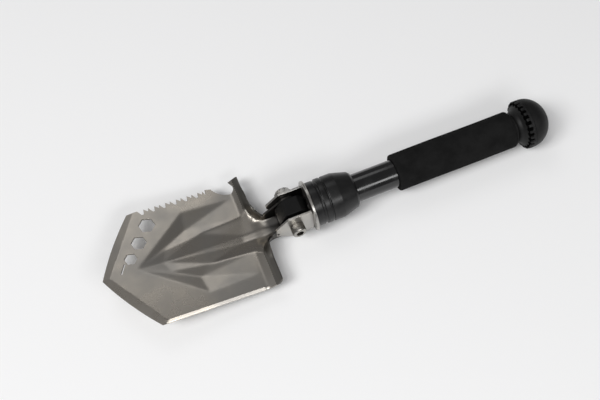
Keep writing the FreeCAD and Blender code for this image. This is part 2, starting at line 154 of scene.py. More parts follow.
def steel_material(name, tone, roughness, grain, shade_from=None):
    """Satin steel with a blasted grain, faint rolling lines, clouds and scratches.

    The last argument is where along X a painted shade starts that darkens the end towards the hinge, if it
    has one.
    """
    material = new_material(name, tone, metallic=1.0, roughness=roughness)
    shader = shader_of(material)
    plain = coordinates(material, (1, 1, 1))
    along = coordinates(material, (0.06, 1, 1))
    cloud = noise(material, plain, 28, 3, 0.55)
    lines = noise(material, along, 900, 3, 0.6)
    speck = noise(material, plain, 2600, 2, 0.6)
    scratch_way = coordinates(material, (0.25, 0.9, 0.6))
    scratch = noise(material, scratch_way, 240, 6, 0.75)
    stain = ramp(material, cloud, 0.35, 0.7, 0.0, 1.0)
    dark = tuple(c * 0.82 for c in tone)
    warm = (tone[0] * 1.04, tone[1], tone[2] * 0.94)
    colour = mix_colour(material, stain, dark, warm)
    if shade_from is not None:
        place = add_node(material, "ShaderNodeSeparateXYZ")
        link(material, plain, place.inputs["Vector"])
        # Painted shade: the colour is darkened towards the hinge end.
        reach = ramp(material, place.outputs["X"], shade_from, shade_from + NECK_SHADE_FADE, 0.0, 0.8)
        colour = mix_colour(material, reach, colour, NECK_SHADE_TONE)
    link(material, colour, shader.inputs["Base Color"])
    base = ramp(material, cloud, 0.3, 0.75, roughness + 0.06, roughness - 0.05)
    rub = ramp(material, scratch, 0.60, 0.74, 1.0, 0.96)
    link(material, multiply(material, base, rub), shader.inputs["Roughness"])
    add_bump(material, [(lines, 0.00002 * grain, 0.5), (speck, 0.000012 * grain, 0.6)])
    return material


def black_paint(name, colour, roughness, specular):
    """Black coating with a slight orange-peel and dust that dulls it in places."""
    material = new_material(name, colour, roughness=roughness, Specular_IOR_Level=specular)
    shader = shader_of(material)
    plain = coordinates(material, (1, 1, 1))
    peel = noise(material, plain, 420, 2, 0.5)
    dust = noise(material, plain, 60, 5, 0.6)
    worn = ramp(material, dust, 0.45, 0.75, roughness, roughness + 0.16)
    link(material, worn, shader.inputs["Roughness"])
    tint = mix_colour(material, ramp(material, dust, 0.5, 0.8, 0.0, 1.0), colour,
                      tuple(c * 1.8 + 0.001 for c in colour))
    link(material, tint, shader.inputs["Base Color"])
    add_bump(material, [(peel, 0.00002, 0.5)])
    return material


def foam_material():
    """Closed-cell foam: fine pores over a soft, uneven skin."""
    material = new_material("grip_foam", (0.005, 0.005, 0.005), roughness=0.95,
                            Specular_IOR_Level=0.08)
    shader = shader_of(material)
    plain = coordinates(material, (1, 1, 1))
    cells = add_node(material, "ShaderNodeTexVoronoi", {"Scale": 1500.0})
    link(material, plain, cells.inputs["Vector"])
    pores = ramp(material, cells.outputs["Distance"], 0.05, 0.45, 0.0, 1.0)
    blotch = noise(material, plain, 70, 5, 0.6)
    tint = mix_colour(material, ramp(material, blotch, 0.35, 0.75, 0.0, 1.0),
                      (0.007, 0.007, 0.007), (0.014, 0.014, 0.014))
    link(material, tint, shader.inputs["Base Color"])
    add_bump(material, [(blotch, 0.0003, 0.5), (pores, 0.00012, 0.6)])
    return material


# Painted shade on the blade's neck starts here along X, standing in for the shade near the hinge.
NECK_SHADE_X = AXIS.x - 0.044
BLADE_STEEL = steel_material("blade_steel", (0.42, 0.40, 0.37), 0.29, 1.0, NECK_SHADE_X)
HARDWARE_STEEL = steel_material("hardware_steel", (0.52, 0.51, 0.49), 0.28, 0.7)
FASTENER_STEEL = steel_material("fastener_steel", (0.42, 0.41, 0.39), 0.22, 0.5)
# Darker copy of the blade steel: painted shade on the shoulders' steep margins, with the painted neck shade
# too.
FLANGE_SHADE_STEEL = steel_material("flange_shade_steel", (0.15, 0.145, 0.135), 0.38, 1.2, NECK_SHADE_X)
# Darker copy of the hardware steel: painted shade on the ears' inner faces.
INNER_SHADE_STEEL = steel_material("inner_shade_steel", (0.10, 0.095, 0.09), 0.3, 0.7)
BLACK_CASTING = black_paint("black_casting", (0.003, 0.003, 0.003), 0.45, 0.2)
BLACK_ANODISED = black_paint("black_anodised", (0.004, 0.004, 0.004), 0.33, 0.45)
BLACK_LACQUER = black_paint("black_lacquer", (0.003, 0.003, 0.003), 0.15, 0.75)
KNOB_PLASTIC = black_paint("knob_plastic", (0.005, 0.005, 0.005), 0.5, 0.25)
# Near-black, matte and almost without reflection: painted shade inside the knob's notches.
NOTCH_SHADE = black_paint("notch_shade", (0.001, 0.001, 0.001), 0.9, 0.02)
SEAL_RUBBER = black_paint("seal_rubber", (0.006, 0.006, 0.006), 0.7, 0.3)
BUSH_BRONZE = steel_material("bush_bronze", (0.62, 0.44, 0.22), 0.3, 0.6)
GRIP_FOAM = foam_material()


# --------------------------------------------------------------- mesh helpers ----

def add_piece(name, points, faces, materials, body, replaces, sharp=30, face_material=None):
    """Makes a mesh from axis millimetres, smooth but for sharp edges, and puts it on its body."""
    mesh = bpy.data.meshes.new(name)
    world = [AXIS + Vector(p) * MM for p in points]
    mesh.from_pydata(world, [], faces)
    mesh.validate()
    work = bmesh.new()
    work.from_mesh(mesh)
    bmesh.ops.remove_doubles(work, verts=work.verts, dist=0.000002)
    bmesh.ops.recalc_face_normals(work, faces=work.faces)
    work.to_mesh(mesh)
    work.free()
    mesh.shade_smooth()
    mesh.set_sharp_from_angle(angle=math.radians(sharp))
    if not isinstance(materials, (list, tuple)):
        materials = [materials]
    for material in materials:
        mesh.materials.append(material)
    if face_material is not None:
        for polygon in mesh.polygons:
            polygon.material_index = face_material(polygon)
    piece = bpy.data.objects.new(name, mesh)
    bpy.context.scene.collection.objects.link(piece)
    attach(piece, body)
    if replaces:
        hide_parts(*replaces)
    return piece


def rounded(points, radius, steps=5):
    """Rounds the inner corners of an open outline, each by at most radius."""
    result = [points[0]]
    for before, corner, after in zip(points, points[1:], points[2:]):
        b, c, a = (np.array(p, float) for p in (before, corner, after))
        cut = min(radius, np.linalg.norm(b - c) * 0.45, np.linalg.norm(a - c) * 0.45)
        start = c + (b - c) / np.linalg.norm(b - c) * cut
        end = c + (a - c) / np.linalg.norm(a - c) * cut
        for t in np.linspace(0, 1, steps + 1):
            result.append(tuple((1 - t) ** 2 * start + 2 * t * (1 - t) * c + t ** 2 * end))
    result.append(points[-1])
    return result


def turned_faces(segments, count):
    """Faces between the copies of an outline of count points, closed both ways."""
    faces = []
    for i in range(segments):
        a = i * count
        b = (i + 1) % segments * count
        for j in range(count):
            k = (j + 1) % count
            faces.append((a + j, a + k, b + k, b + j))
    return faces


def lathe(profile, segments=128):
    """Points and faces of a closed (x, radius) outline turned about the X axis."""
    points = []
    for i in range(segments):
        angle = 2 * math.pi * i / segments
        points += [(x, r * math.cos(angle), r * math.sin(angle)) for x, r in profile]
    return points, turned_faces(segments, len(profile))


def polar_ring(x, steps, radius):
    """Points round the X axis, with radius a function of step and angle."""
    points = []
    for i in range(steps):
        a = 2 * math.pi * i / steps
        r = radius(i, a)
        points.append((x, r * math.cos(a), r * math.sin(a)))
    return points


def band_faces(steps, first, second):
    """Faces between two rings, given the index of each one's first point."""
    faces = []
    for i in range(steps):
        j = (i + 1) % steps
        faces.append((first + i, first + j, second + j, second + i))
    return faces


def hexagon_radius(flat_half, angle):
    """Radius at an angle of a hexagon with half its size across flats."""
    return flat_half / math.cos(angle % (math.pi / 3) - math.pi / 6)


def inside(points, loop):
    """Which 2-D points lie inside a closed loop."""
    x, y = points[:, 0], points[:, 1]
    hit = np.zeros(len(points), bool)
    for (x0, y0), (x1, y1) in zip(loop, np.roll(loop, -1, 0)):
        crosses = (y0 > y) != (y1 > y)
        with np.errstate(divide="ignore", invalid="ignore"):
            at = (x1 - x0) * (y - y0) / (y1 - y0) + x0
        hit ^= crosses & (x < at)
    return hit


def distance_to(points, loop):
    """Distance from 2-D points to a closed loop's nearest edge."""
    best = np.full(len(points), 1e9)
    for start, end in zip(loop, np.roll(loop, -1, 0)):
        way = end - start
        length = max(float(way @ way), 1e-12)
        t = np.clip(((points - start) @ way) / length, 0, 1)
        gap = np.linalg.norm(points - start - t[:, None] * way, axis=1)
        best = np.minimum(best, gap)
    return best


def offset_loop(loop, distance):
    """The closed loop moved to its left by distance, with sharp corners held back."""
    before = np.roll(loop, 1, 0)
    after = np.roll(loop, -1, 0)
    d0 = loop - before
    d1 = after - loop
    d0 /= np.maximum(np.linalg.norm(d0, axis=1), 1e-9)[:, None]
    d1 /= np.maximum(np.linalg.norm(d1, axis=1), 1e-9)[:, None]
    n0 = np.stack([-d0[:, 1], d0[:, 0]], 1)
    n1 = np.stack([-d1[:, 1], d1[:, 0]], 1)
    mean = n0 + n1
    mean /= np.maximum(np.linalg.norm(mean, axis=1), 1e-9)[:, None]
    stretch = 1 / np.clip((mean * n0).sum(1), 0.55, 1)
    return loop + mean * (distance * stretch)[:, None]


def signed_area(loop):
    """Area of a closed loop, positive if it runs anticlockwise."""
    x, y = loop[:, 0], loop[:, 1]
    return 0.5 * float((x * np.roll(y, -1) - np.roll(x, -1) * y).sum())


def plate(loops, upper, lower, rim=0.25, spacing=None, creases=()):
    """A plate with holes: the first loop is its outline and the rest are holes.

    upper and lower turn 2-D points into 3-D ones. The rims get a small chamfer. spacing
    fills the plate with grid points, and creases are open lines that edges must follow.
    """
    loops = [np.array(loop, float) for loop in loops]
    loops = [loop if (signed_area(loop) > 0) == (i == 0) else loop[::-1].copy()
             for i, loop in enumerate(loops)]
    flat = []
    edges = []
    for loop in loops:
        for ring in (loop, offset_loop(loop, rim)):
            first = len(flat)
            flat += [tuple(p) for p in ring]
            edges += [(first + i, first + (i + 1) % len(ring)) for i in range(len(ring))]
    for crease in creases:
        first = len(flat)
        flat += [tuple(p) for p in crease]
        edges += [(first + i, first + i + 1) for i in range(len(crease) - 1)]
    if spacing:
        low = loops[0].min(0)
        high = loops[0].max(0)
        rows = np.arange(low[1], high[1], spacing * 0.866)
        grid = [(x + (row % 2) * spacing / 2, y) for row, y in enumerate(rows)
                for x in np.arange(low[0], high[0], spacing)]
        grid = np.array(grid)
        keep = inside(grid, loops[0]) & (distance_to(grid, loops[0]) > rim + spacing * 0.4)
        for hole in loops[1:]:
            keep &= ~inside(grid, hole) & (distance_to(grid, hole) > rim + spacing * 0.4)
        flat += [tuple(p) for p in grid[keep]]
    out, _, triangles, origin, _, _ = delaunay_2d_cdt(
        [Vector(p) for p in flat], edges, [], 1, 1e-6)
    out = np.array([tuple(p) for p in out])
    middles = np.array([out[list(t)].mean(0) for t in triangles])
    keep = inside(middles, loops[0])
    for hole in loops[1:]:
        keep &= ~inside(middles, hole)
    triangles = [tuple(t) for t, k in zip(triangles, keep) if k]
    place = {}
    for index, ids in enumerate(origin):
        for i in ids:
            place[i] = index
    on_rim = np.zeros(len(out), bool)
    borders = []
    first = 0
    for loop in loops:
        border = [place[first + i] for i in range(len(loop))]
        borders.append(border)
        on_rim[border] = True
        first += 2 * len(loop)
    top = upper(out)
    bottom = lower(out)
    way = bottom - top
    thick = np.maximum(np.linalg.norm(way, axis=1), 1e-9)[:, None]
    drop = np.minimum(rim, thick * 0.3) * on_rim[:, None]
    top = top + way / thick * drop
    bottom = bottom - way / thick * drop
    count = len(out)
    points = [tuple(p) for p in np.vstack([top, bottom])]
    faces = triangles + [tuple(i + count for i in reversed(t)) for t in triangles]
    for border in borders:
        for a, b in zip(border, border[1:] + border[:1]):
            if a != b:
                faces.append((b, a, a + count, b + count))
    return points, faces


def flat_plate(axis, level, thickness, loops, **options):
    """A flat plate standing across an axis: 2-D points are the two other coordinates."""
    def at(height):
        def surface(p):
            result = np.zeros((len(p), 3))
            others = [i for i in range(3) if i != axis]
            result[:, others] = p
            result[:, axis] = height
            return result
        return surface
    return plate(loops, at(level + thickness), at(level), **options)


def circle(centre, radius, steps=64, start=0.0):
    """Points round a circle, from the angle start."""
    turns = [start + 2 * math.pi * i / steps for i in range(steps)]
    return [(centre[0] + radius * math.cos(a), centre[1] + radius * math.sin(a)) for a in turns]


def arc_points(start, middle, end, steps):
    """Points along the circle through three 2-D points, without the last."""
    ax, ay = start
    bx, by = middle
    cx, cy = end
    d = 2 * (ax * (by - cy) + bx * (cy - ay) + cx * (ay - by))
    ux = ((ax**2 + ay**2) * (by - cy) + (bx**2 + by**2) * (cy - ay) + (cx**2 + cy**2) * (ay - by)) / d
    uy = ((ax**2 + ay**2) * (cx - bx) + (bx**2 + by**2) * (ax - cx) + (cx**2 + cy**2) * (bx - ax)) / d
    radius = math.hypot(ax - ux, ay - uy)
    a0 = math.atan2(ay - uy, ax - ux)
    a1 = math.atan2(by - uy, bx - ux)
    a2 = math.atan2(cy - uy, cx - ux)
    turn = (a2 - a0) % (2 * math.pi)
    if (a1 - a0) % (2 * math.pi) > turn:
        turn -= 2 * math.pi
    return [(ux + radius * math.cos(a0 + turn * i / steps), uy + radius * math.sin(a0 + turn * i / steps))
            for i in range(steps)]


def divided(points, step):
    """Open line through points with no gap longer than step, without the last point."""
    result = []
    for start, end in zip(points, points[1:]):
        count = max(1, math.ceil(math.dist(start, end) / step))
        result += [(start[0] + (end[0] - start[0]) * i / count, start[1] + (end[1] - start[1]) * i / count)
                   for i in range(count)]
    return result


# --------------------------------------------------------------------- blade ----

BLADE_T = 2.0
PITCH = math.radians(6.3)
SHOULDER_U = 141.0
PLAIN_SHOULDER_U = 143.6
CORNER_R = 4.5
SHOULDER_X = -48.1
SHOULDER_Z = -10.4
CORNER_U = 36.5
HALF_W = 56.0
FRONT_BULGE = 2.0
EDGE_INSET = 5.5
EDGE_DEPTH = 1.5
SIDE_BEVEL_W = 2.6
SIDE_BEVEL_DEPTH = 1.7
CHANNEL_U = 31.0
CHANNEL_DEPTH = 6.6
WING_DEPTH = 2.4
RIDGE_DEPTH = 1.3
LIP_H = 3.0
HEX_ANGLE = 46.5
HEX_HOLES = ((50.7, 39.4, 13.0), (39.2, 24.8, 12.0), (28.4, 12.0, 10.0))
SLOT_W = 1.3
SAW_START_U = 46.6
SAW_FIRST_U = 52.3
SAW_PAIRS = 6
SAW_PAIR_PITCH = 10.1
SAW_PEAK_STEP = 4.4
SAW_NOTCH = 3.2
SAW_GULLET = 4.9
HOOK_TIP = (131.8, 56.6)
CURVE_START_V = 27.0
HOOK_CURVE = (143.9, 19.2)
PLAIN_CURVE = (145.4, 19.6)
HOOK_RISE = 1.6
PIVOT_X = (span("pivot_bush", 0)[0] + span("pivot_bush", 0)[1]) / 2
PIVOT_Z = (span("pivot_bush", 2)[0] + span("pivot_bush", 2)[1]) / 2
NECK_HALF = 11.9
NECK_FLOOR_Z = -17.0
KEEL_HALF = 3.6
KNEE_Z = -14.0
EYE_R = 9.5
BUSH_R = 6.0


def blade_facets():
    """The pressed shape as flat facets of its upper face, on the saw side of the middle."""
    far = HALF_W + 6
    lip_u = SHOULDER_U - 2.5
    foot_u = lip_u - 7.5
    end_u = SHOULDER_U + 12
    apex = (CHANNEL_U, 0, 0)
    wing = (82.8, 41.4, 0)
    tail = (127.3, 39.5, 0)
    valley = (80, 24, -WING_DEPTH)
    ridge_a = (58, 10.5, -RIDGE_DEPTH)
    ridge_b = (92, 15.5, -RIDGE_DEPTH)
    ridge_c = (foot_u, 18, 0)
    keel_a = (54, 0, -2.2)
    deep = (127, 0, -CHANNEL_DEPTH)
    floor_a = (127, KEEL_HALF, -CHANNEL_DEPTH)
    floor_end = (SHOULDER_U + 21, 0, -4.3)
    floor_b = (SHOULDER_U + 21, KEEL_HALF, -4.3)
    lip_in = (lip_u, 24, LIP_H)
    lip_out = (end_u, 24, LIP_H - 3.0)
    front = (-6, far, 0)
    foot = (foot_u, far, 0)
    lip_far = (lip_u, far, LIP_H)
    end_far = (end_u, far, LIP_H - 3.0)
    return [
        [(-6, 0, 0), apex, front], [apex, wing, front], [wing, foot, front], [wing, tail, foot],
        [tail, ridge_c, foot],
        [apex, valley, wing], [wing, valley, tail],
        [apex, ridge_a, valley], [ridge_a, ridge_b, valley],
        [ridge_b, ridge_c, valley], [ridge_c, tail, valley],
        [apex, keel_a, ridge_a], [keel_a, ridge_b, ridge_a],
        [keel_a, floor_a, ridge_b], [floor_a, ridge_c, ridge_b],
        [keel_a, deep, floor_a], [deep, floor_end, floor_b], [deep, floor_b, floor_a],
        [floor_a, floor_b, ridge_c], [ridge_c, floor_b, lip_in], [lip_in, floor_b, lip_out],
        [ridge_c, lip_in, lip_far], [ridge_c, lip_far, foot],
        [lip_in, lip_out, end_far], [lip_in, end_far, lip_far],
    ]


GRID_STEP = 0.5
GRID_LOW_U = -4.0
GRID_HIGH_U = 162.0
CREASE_SOFTNESS = 0.8


def press_heights():
    """Height of the pressed sheet on a fine grid of u and |v|, with its creases softened."""
    us = np.arange(GRID_LOW_U, GRID_HIGH_U, GRID_STEP)
    vs = np.arange(0, HALF_W + 5, GRID_STEP)
    grid_u, grid_v = np.meshgrid(us, vs, indexing="ij")
    heights = np.zeros_like(grid_u)
    for a, b, c in blade_facets():
        det = (b[1] - c[1]) * (a[0] - c[0]) + (c[0] - b[0]) * (a[1] - c[1])
        wa = ((b[1] - c[1]) * (grid_u - c[0]) + (c[0] - b[0]) * (grid_v - c[1])) / det
        wb = ((c[1] - a[1]) * (grid_u - c[0]) + (a[0] - c[0]) * (grid_v - c[1])) / det
        wc = 1 - wa - wb
        hit = (wa >= -1e-6) & (wb >= -1e-6) & (wc >= -1e-6)
        heights[hit] = (wa * a[2] + wb * b[2] + wc * c[2])[hit]
    full = np.concatenate([heights[:, :0:-1], heights], axis=1)
    reach = int(3 * CREASE_SOFTNESS / GRID_STEP)
    kernel = np.exp(-0.5 * (np.arange(-reach, reach + 1) * GRID_STEP / CREASE_SOFTNESS) ** 2)
    kernel /= kernel.sum()
    for way in (0, 1):
        pad = [(0, 0), (0, 0)]
        pad[way] = (reach, reach)
        padded = np.pad(full, pad, mode="edge")
        full = np.apply_along_axis(lambda line: np.convolve(line, kernel, "valid"), way, padded)
    return full[:, len(vs) - 1:]


PRESSED = press_heights()


def height_at(u, v):
    """Pressed height at plan points, between the grid's samples."""
    fu = np.clip((u - GRID_LOW_U) / GRID_STEP, 0, PRESSED.shape[0] - 1.001)
    fv = np.clip(np.abs(v) / GRID_STEP, 0, PRESSED.shape[1] - 1.001)
    iu = fu.astype(int)
    iv = fv.astype(int)
    tu = fu - iu
    tv = fv - iv
    return ((PRESSED[iu, iv] * (1 - tv) + PRESSED[iu, iv + 1] * tv) * (1 - tu)
            + (PRESSED[iu + 1, iv] * (1 - tv) + PRESSED[iu + 1, iv + 1] * tv) * tu)


def smooth_step(x, low, high):
    """0 below low, 1 above high and an even curve between."""
    t = np.clip((x - low) / (high - low), 0, 1)
    return t * t * (3 - 2 * t)


NECK_START_U = 137.0
NECK_FULL_U = 150.0
NECK_REACH = 20.0
NECK_CORNER = (149.0, 16.6)
NECK_FLARE = 0.4
FLARE_START_X = -49.0
FLARE_END_X = -38.0
FLANGE_W = 4.0
FLANGE_SLOPE_IN = 1.9
FLANGE_SLOPE_OUT = 0.9
FLANGE_SOFT = 0.25
FOLD_R = 1.6


def neck_line():
    """Inside of the neck's cross-section, from its middle up one side, with rounded folds."""
    corners = [(0, NECK_FLOOR_Z), (KEEL_HALF, NECK_FLOOR_Z), (NECK_HALF - BLADE_T, KNEE_Z),
               (NECK_HALF - BLADE_T, 20.0)]
    line = [corners[0]] + rounded(corners, FOLD_R, 6)[1:]
    line = np.array(divided(line, 0.5) + [line[-1]])
    lengths = np.concatenate([[0], np.cumsum(np.linalg.norm(np.diff(line, axis=0), axis=1))])
    return line, lengths


NECK_LINE, NECK_LENGTHS = neck_line()


def climb(z):
    """Distance along the neck's cross-section from its middle up to height z on the cheek."""
    return float(np.interp(z, NECK_LINE[:, 1], NECK_LENGTHS))


def trough(u, s):
    """Upper face of the neck, wrapped round its cross-section."""
    x = SHOULDER_X + (u - SHOULDER_U) * math.cos(PITCH)
    flare = 1 + NECK_FLARE * (1 - smooth_step(x, FLARE_START_X, FLARE_END_X))
    y = np.interp(np.abs(s), NECK_LENGTHS, NECK_LINE[:, 0]) * flare
    z = np.interp(np.abs(s), NECK_LENGTHS, NECK_LINE[:, 1])
    return np.stack([x, np.sign(s) * y, z], 1)


def rear_line(sign):
    """Rear edge of one shoulder, from its outer end round the curve into the neck."""
    if sign > 0:
        ends = ((SHOULDER_U, HALF_W + HOOK_RISE), (SHOULDER_U, CURVE_START_V))
        middle = HOOK_CURVE
    else:
        ends = ((PLAIN_SHOULDER_U, HALF_W), (PLAIN_SHOULDER_U, CURVE_START_V))
        middle = PLAIN_CURVE
    line = [ends[0]] + arc_points(ends[1], middle, NECK_CORNER, 10)
    line += [NECK_CORNER, (NECK_CORNER[0] + 12, NECK_CORNER[1])]
    return np.array([(u, sign * v) for u, v in line])


REAR_LINES = {sign: rear_line(sign) for sign in (1, -1)}


def there_and_back(line):
    """An open line as a closed loop of no width."""
    return np.concatenate([line, line[-2:0:-1]])


def flange(u, v):
    """Extra height of the steep margin along the shoulders' rear edges."""
    points = np.stack([u, v], 1)
    gap = np.full(len(u), 1e9)
    for sign, line in REAR_LINES.items():
        gap = np.where(v * sign >= 0, distance_to(points, there_and_back(line)), gap)
    slope = FLANGE_SLOPE_IN + (FLANGE_SLOPE_OUT - FLANGE_SLOPE_IN) * smooth_step(np.abs(v), 20, 32)
    slope = slope * (1 - 0.5 * smooth_step(v, 36, 50))
    rise = FLANGE_W - gap
    return slope * (rise + np.sqrt(rise**2 + FLANGE_SOFT**2)) / 2


def flange_fold(sign):
    """Line along which the steep margin folds up from the shoulder."""
    line = REAR_LINES[sign]
    way = np.gradient(line[1:-1], axis=0)
    way /= np.linalg.norm(way, axis=1)[:, None]
    inward = np.stack([way[:, 1], -way[:, 0]], 1) * sign
    fold = line[1:-1] + inward * FLANGE_W
    start = (fold[0][0], sign * (HALF_W - 5.0))
    points = [start] + [tuple(p) for p in fold]
    return divided(points, 1.3) + [points[-1]]


def pressed(u, v):
    """Upper face of the pressed blade in axis millimetres."""
    h = height_at(u, v) + flange(u, v)
    x = SHOULDER_X + (u - SHOULDER_U) * math.cos(PITCH) + h * math.sin(PITCH)
    z = SHOULDER_Z - (u - SHOULDER_U) * math.sin(PITCH) + h * math.cos(PITCH)
    return np.stack([x, v, z], 1)


def blade_surface(p):
    """Upper face over sheet coordinates: pressed blade that turns into the neck's trough."""
    u, s = p[:, 0], p[:, 1]
    beside = smooth_step(np.abs(s), NECK_REACH, NECK_REACH + 8) * (1 - smooth_step(u, 145, 149))
    weight = smooth_step(u, NECK_START_U, NECK_FULL_U) * (1 - beside)
    return pressed(u, s) * (1 - weight[:, None]) + trough(u, s) * weight[:, None]


def surface_normal(p):
    """Unit normal of the upper face."""
    step = 0.05
    du = blade_surface(p + [step, 0]) - blade_surface(p - [step, 0])
    dv = blade_surface(p + [0, step]) - blade_surface(p - [0, step])
    normal = np.cross(du, dv)
    return normal / np.maximum(np.linalg.norm(normal, axis=1), 1e-9)[:, None]


def bevel_depth(p):
    """How much the digging edges and the plain side's edge are ground away."""
    u, v = p[:, 0], p[:, 1]
    length = math.hypot(CORNER_U, HALF_W)
    inward = (u * HALF_W - np.abs(v) * CORNER_U) / length
    width = EDGE_INSET + FRONT_BULGE
    front = np.clip((EDGE_INSET - inward) / width, 0, 1) * EDGE_DEPTH
    ends = smooth_step(u, CORNER_U - 2, CORNER_U + 6) * (1 - smooth_step(u, SHOULDER_U - 14, SHOULDER_U - 8))
    side = np.clip((v + HALF_W - SIDE_BEVEL_W) / -SIDE_BEVEL_W, 0, 1) * SIDE_BEVEL_DEPTH * ends
    return np.maximum(front, side)


def blade_upper(p):
    """Upper face with its bevels ground off."""
    return blade_surface(p) - surface_normal(p) * bevel_depth(p)[:, None]


def blade_lower(p):
    """Lower face, one sheet thickness down."""
    return blade_surface(p) - surface_normal(p) * BLADE_T


def saw_points():
    """Six pairs of raked teeth, with a deep gullet after each pair."""
    deep = HALF_W - SAW_GULLET
    points = [(SAW_START_U, HALF_W), (SAW_FIRST_U - 2.8, deep), (SAW_FIRST_U - 0.8, deep)]
    for pair in range(SAW_PAIRS):
        u = SAW_FIRST_U + pair * SAW_PAIR_PITCH
        points += [(u, HALF_W), (u + SAW_PEAK_STEP - 0.8, HALF_W - SAW_NOTCH), (u + SAW_PEAK_STEP, HALF_W)]
        if pair < SAW_PAIRS - 1:
            points += [(u + SAW_PAIR_PITCH - 2.4, deep), (u + SAW_PAIR_PITCH - 0.8, deep)]
    return points


def along(x):
    """Sheet coordinate u of a place on the handle's axis."""
    return SHOULDER_U + (x - SHOULDER_X) / math.cos(PITCH)


def neck_loop():
    """Neck's edge on one side, from the shoulder's curve over the eye to the floor's end."""
    eye = (along(PIVOT_X), climb(PIVOT_Z))
    turns = np.linspace(math.radians(142), math.radians(-50), 36)
    eye_arc = [(eye[0] + EYE_R * math.cos(a), eye[1] + EYE_R * math.sin(a)) for a in turns]
    rise = [NECK_CORNER, (along(FLARE_END_X), climb(-5.0)), eye_arc[0]]
    floor_end = along(-13.0)
    tail = [eye_arc[-1], (floor_end, climb(-14.0)), (floor_end, 4.0), (floor_end, 0.01)]
    return divided(rise, 1.2) + eye_arc[:-1] + divided(tail, 1.2)


def blade_loop():
    """Sheet outline: tip, saw side, shoulder, neck and eye, then back along the plain side."""
    length = math.hypot(CORNER_U, HALF_W)
    bulge = (CORNER_U / 2 - FRONT_BULGE * HALF_W / length, HALF_W / 2 + FRONT_BULGE * CORNER_U / length)
    corner = (CORNER_U, HALF_W)
    tip = (0.0, 0.0)
    step_end = (115.2, HALF_W - 0.8)
    throat = (130.6, HALF_W - 11.6)
    hook_root = (133.6, HALF_W - 3.6)
    rear_in = (SHOULDER_U, CURVE_START_V)
    neck = neck_loop()
    side = arc_points(tip, bulge, corner, 26)
    step = [(109.2, HALF_W - SAW_GULLET), (109.8, HALF_W + 0.6), step_end]
    side += divided([corner] + saw_points() + step, 2.0)
    side += arc_points(step_end, (121.6, HALF_W - 8.6), throat, 16)
    side += arc_points(throat, (134.2, HALF_W - 8.0), hook_root, 10)
    top = HALF_W + HOOK_RISE
    back = [hook_root, HOOK_TIP, (137.0, top), (SHOULDER_U, top), rear_in]
    side += divided(back, 1.5)
    side += arc_points(rear_in, HOOK_CURVE, neck[0], 14)
    plain_in = (PLAIN_SHOULDER_U, -CURVE_START_V)
    blunt = CORNER_R * (1 - math.sqrt(0.5))
    rear = (PLAIN_SHOULDER_U, -HALF_W + CORNER_R)
    corner_mid = (PLAIN_SHOULDER_U - blunt, -HALF_W + blunt)
    corner_end = (PLAIN_SHOULDER_U - CORNER_R, -HALF_W)
    plain = [(u, -s) for u, s in reversed(neck[1:])]
    plain_curve = (PLAIN_CURVE[0], -PLAIN_CURVE[1])
    plain += arc_points((neck[0][0], -neck[0][1]), plain_curve, plain_in, 14)
    plain += divided([plain_in, rear], 1.5) + arc_points(rear, corner_mid, corner_end, 8)
    plain += divided([corner_end, (CORNER_U, -HALF_W)], 1.5)
    plain += arc_points((CORNER_U, -HALF_W), (bulge[0], -bulge[1]), tip, 26)
    return side + neck + plain


def eye_hole(sign):
    """The bush's hole in one cheek of the neck."""
    return circle((along(PIVOT_X), sign * climb(PIVOT_Z)), BUSH_R, 40)


def puller_slot():
    """Narrow slot from the smallest wrench hole, beside the digging edge."""
    u, v, across_flats = HEX_HOLES[2]
    start = np.array([u - across_flats * 0.62, v - across_flats * 0.30])
    end = np.array([17.2, 0.8])
    angle = math.atan2(*(end - start)[::-1])
    loop = []
    for centre, first in ((end, -90), (start, 90)):
        for i in range(9):
            a = angle + math.radians(first + 22.5 * i)
            loop.append(tuple(centre + SLOT_W / 2 * np.array([math.cos(a), math.sin(a)])))
    return loop


def shaded_flange(polygon):
    """1 on the steep margin of the shoulders, which gets painted shade: a darker copy of the steel that
    keeps it dark.
    """
    x, y = ((polygon.center - AXIS) / MM).xy
    u = along(x)
    if u < SHOULDER_U - 2 * FLANGE_W or x > FLARE_END_X:
        return 0
    edge = there_and_back(REAR_LINES[1 if y > 0 else -1])
    return int(distance_to(np.array([[u, y]]), edge)[0] < FLANGE_W + FOLD_R)


def make_blade():
    """The pressed sheet, from the tip to the neck's eyes."""
    hexes = []
    for u, v, across_flats in HEX_HOLES:
        corners = circle((u, v), across_flats / math.sqrt(3), 6, math.radians(HEX_ANGLE))
        hexes.append(divided(corners + corners[:1], 1.2))
    length = math.hypot(CORNER_U, HALF_W)
    shift = EDGE_INSET / (HALF_W / length)
    creases = []
    for sign in (1, -1):
        reach = HALF_W - 1.0 if sign > 0 else HALF_W - SIDE_BEVEL_W - 0.5
        ends = [(shift, 0.0), (shift + CORNER_U * reach / HALF_W - 0.6, sign * (reach - 0.9))]
        creases.append(divided(ends, 1.5) + [ends[1]])
    side_line = [(CORNER_U + 4, -HALF_W + SIDE_BEVEL_W), (SHOULDER_U - 9, -HALF_W + SIDE_BEVEL_W)]
    creases.append(divided(side_line, 1.5) + [side_line[1]])
    creases += [flange_fold(1), flange_fold(-1)]
    loops = [blade_loop()] + hexes + [puller_slot(), eye_hole(1), eye_hole(-1)]
    points, faces = plate(loops, blade_upper, blade_lower, rim=0.22, spacing=1.3, creases=creases)
    # The second material is painted shade on the shoulders' steep margins.
    return add_piece("blade_steel_shell", points, faces, [BLADE_STEEL, FLANGE_SHADE_STEEL], "blade_unit",
                     ["blade"], sharp=22, face_material=shaded_flange)


# --------------------------------------------------------------------- hinge ----

